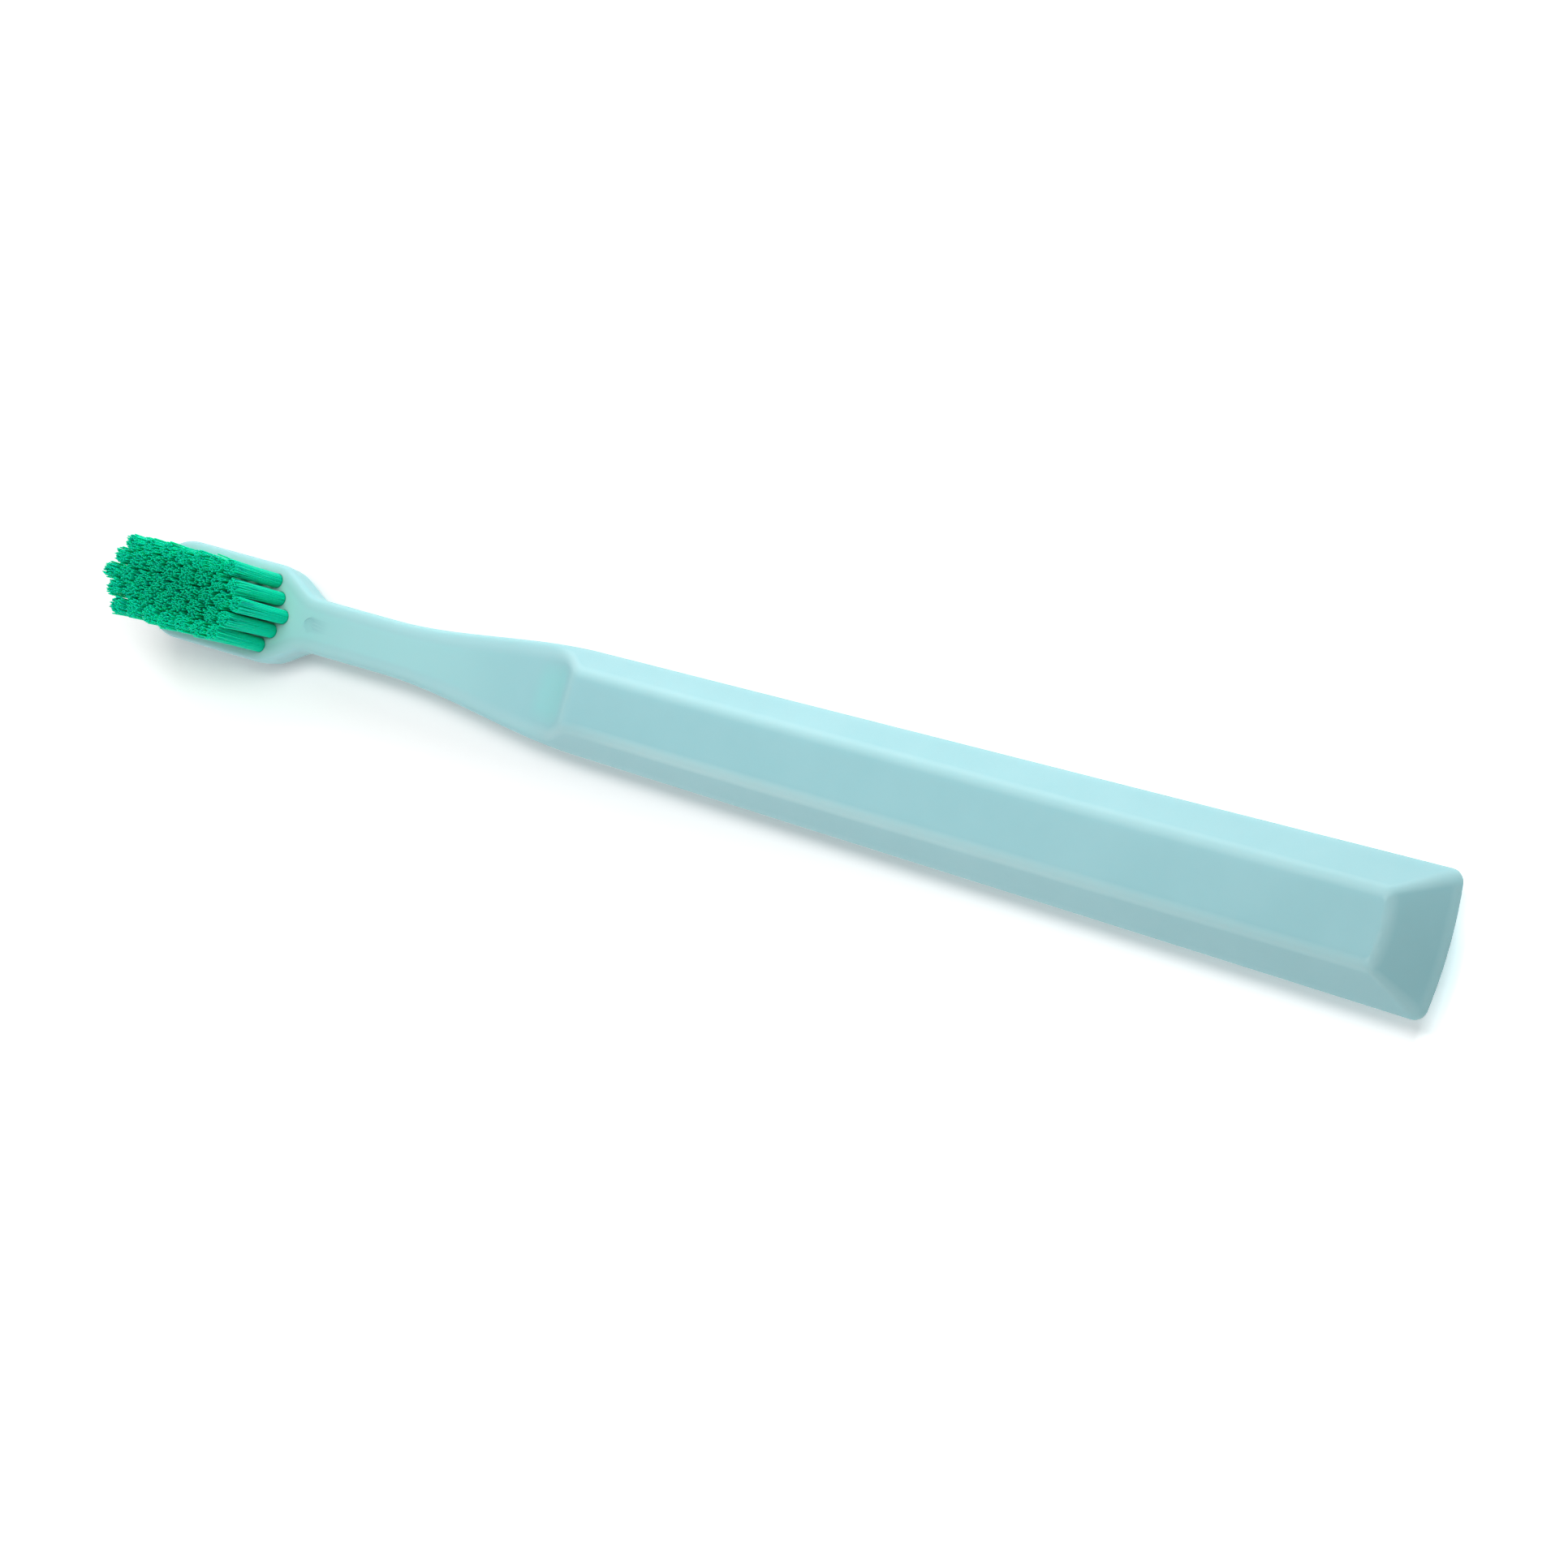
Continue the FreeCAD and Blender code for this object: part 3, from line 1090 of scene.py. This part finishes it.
@dataclass
class Studio:
    """White floor, lamps above, behind and in front of the brush, and the photo's camera, in metres."""

    # Floor: its colour for the light that it throws back, and those that the camera sees, brighter away from
    # the middle and past the handle's end, so that only the shadow close to the brush shows
    floor_size: float = 6.0
    floor_colour: Colour = (0.86, 0.86, 0.86)
    seen_floor_colour: Colour = (1.18, 1.18, 1.18)
    far_floor_colour: Colour = (2.4, 2.4, 2.4)
    far_floor_reach: tuple[float, float] = (0.009, 0.0446)
    past_end_reach: tuple[float, float] = (0.0868, 0.0895)
    floor_middle: tuple[float, float, float] = (-0.025, 0.0, 0.0)
    floor_stretch: tuple[float, float, float] = (0.15, 1.0, 1.0)
    # Light
    sky_level: float = 0.425
    sky_slope: tuple[float, float, float] = (-0.05, 0.08, 0.0)
    key_place: tuple[float, float, float] = (0.012, 0.056, 0.19)
    key_aim: tuple[float, float, float] = (-0.09, 0.056, 0.0)
    key_size: tuple[float, float] = (0.06, 0.2)
    key_power: float = 0.19
    window_place: tuple[float, float, float] = (-0.05, 0.31, 0.12)
    window_size: tuple[float, float] = (0.36, 0.15)
    window_power: float = 0.56
    fill_place: tuple[float, float, float] = (-0.03, -0.23, 0.06)
    fill_size: tuple[float, float] = (0.2, 0.07)
    fill_power: float = 0.13
    # Camera, with its angles in degrees
    aim: tuple[float, float, float] = (0.00513, -0.00274, 0.0)
    distance: float = 0.4633
    azimuth: float = 1.62
    elevation: float = 57.87
    roll: float = 75.82
    focal_pixels: float = 5001.0
    picture_pixels: float = 1932.0
    sensor_width: float = 36.0

    def build(self) -> None:
        """Builds the floor, the light, the sky and the camera."""
        bpy.context.scene.view_settings.view_transform = "Standard"
        self.make_floor()
        self.make_sky()
        middle = (0.0, 0.0, 0.0)
        self.make_lamp("softbox", self.key_place, self.key_aim, self.key_size, self.key_power)
        self.make_lamp("window", self.window_place, middle, self.window_size, self.window_power)
        self.make_lamp("fill", self.fill_place, middle, self.fill_size, self.fill_power)
        self.make_camera()

    def seen(self, graph: Graph) -> bpy.types.NodeSocket:
        """1 for rays that show the background: from the camera, or by way of gloss or glass."""
        path = graph.add("LightPath").outputs
        direct = graph.maths("MAXIMUM", path["Is Camera Ray"], path["Is Glossy Ray"])
        return graph.maths("MAXIMUM", direct, path["Is Transmission Ray"])

    def make_floor(self) -> None:
        """Lays a white floor that the camera sees as full white, with the brush's shadow on it."""
        bm = bmesh.new()
        bmesh.ops.create_grid(bm, x_segments=1, y_segments=1, size=self.floor_size / 2 / MM)
        floor = link_object("floor", mesh_from(bm, "floor"))
        material = bpy.data.materials.new("white_floor")
        material.use_nodes = True
        tree = material.node_tree
        tree.nodes.clear()
        graph = Graph(tree)
        plain = graph.add("BsdfDiffuse", Color=rgba(self.floor_colour))
        place = graph.place()
        away = graph.vector_maths("SUBTRACT", place, self.floor_middle).outputs["Vector"]
        across = graph.add("Mapping", Vector=away, Scale=self.floor_stretch).outputs["Vector"]
        reach = graph.vector_maths("LENGTH", across).outputs["Value"]
        far = graph.ranged(reach, *self.far_floor_reach, 0.0, 1.0)
        along = graph.add("SeparateXYZ", Vector=place).outputs["X"]
        past_end = graph.ranged(along, *self.past_end_reach, 0.0, 1.0)
        far = graph.maths("MAXIMUM", far, past_end)
        white = graph.mix(far, rgba(self.seen_floor_colour), rgba(self.far_floor_colour))
        bright = graph.add("BsdfDiffuse", Color=white)
        choice = graph.add("MixShader")
        graph.feed(choice.inputs[0], self.seen(graph))
        graph.feed(choice.inputs[1], plain.outputs["BSDF"])
        graph.feed(choice.inputs[2], bright.outputs["BSDF"])
        graph.add("OutputMaterial", Surface=choice.outputs["Shader"])
        floor.data.materials.append(material)

    def make_sky(self) -> None:
        """Surrounds the brush with soft light, stronger from the far side of the head, and seen as white."""
        world = bpy.data.worlds.new("studio")
        world.use_nodes = True
        bpy.context.scene.world = world
        graph = Graph(world.node_tree)
        way = graph.add("TexCoord").outputs["Generated"]
        slope = graph.vector_maths("DOT_PRODUCT", way, self.sky_slope).outputs["Value"]
        soft = graph.maths("ADD", slope, self.sky_level)
        level = graph.maths("MAXIMUM", soft, self.seen(graph))
        sky = world.node_tree.nodes["Background"]
        sky.inputs["Color"].default_value = rgba((1, 1, 1))
        graph.feed(sky.inputs["Strength"], level)

    def make_lamp(self, name: str, place: Sequence[float], aim: Sequence[float], size: Sequence[float],
                  power: float) -> None:
        """Hangs a soft lamp.

        Args:
            name: Name of the lamp.
            place: Where its middle hangs.
            aim: Point that it faces.
            size: Its width and height.
            power: Its power, in watts.
        """
        lamp = bpy.data.lights.new(name, "AREA")
        lamp.shape = "RECTANGLE"
        lamp.size, lamp.size_y = size
        lamp.energy = power
        lit = link_object(name, lamp)
        lit.location = place
        lit.rotation_euler = (Vector(aim) - Vector(place)).to_track_quat("-Z", "Y").to_euler()
        lit.visible_camera = False

    def make_camera(self) -> None:
        """Sets the camera where the photograph was taken from."""
        lens = bpy.data.cameras.new("camera")
        lens.sensor_width = self.sensor_width
        lens.lens = self.sensor_width * self.focal_pixels / self.picture_pixels
        camera = link_object("camera", lens)
        turn, lift, roll = (math.radians(angle) for angle in (self.azimuth, self.elevation, self.roll))
        back = Vector((math.cos(turn) * math.cos(lift), math.sin(turn) * math.cos(lift), math.sin(lift)))
        level_right = Vector((0, 0, 1)).cross(back).normalized()
        level_down = -back.cross(level_right)
        right = math.cos(roll) * level_right + math.sin(roll) * level_down
        up = back.cross(right)
        place = Matrix((right, up, back)).transposed().to_4x4()
        place.translation = Vector(self.aim) + self.distance * back
        camera.matrix_world = place
        bpy.context.scene.camera = camera


def main() -> None:
    """Builds the toothbrush and its studio, piece by piece."""
    logging.basicConfig(level=logging.INFO, format="%(name)s: %(message)s")
    handle = Handle()
    bristles = BristleField()
    tufts = bristles.tufts()
    pieces = [handle.build(tufts, SatinPlastic())]
    pieces += bristles.build(tufts, handle.neck_top, DyedNylon())
    pieces.append(AnchorPlates().dress(DrawnBrass()))
    for piece in pieces:
        LOG.info("%s: %d faces", piece.name, len(piece.data.polygons))
    Studio().build()


if __name__ == "__main__":
    main()
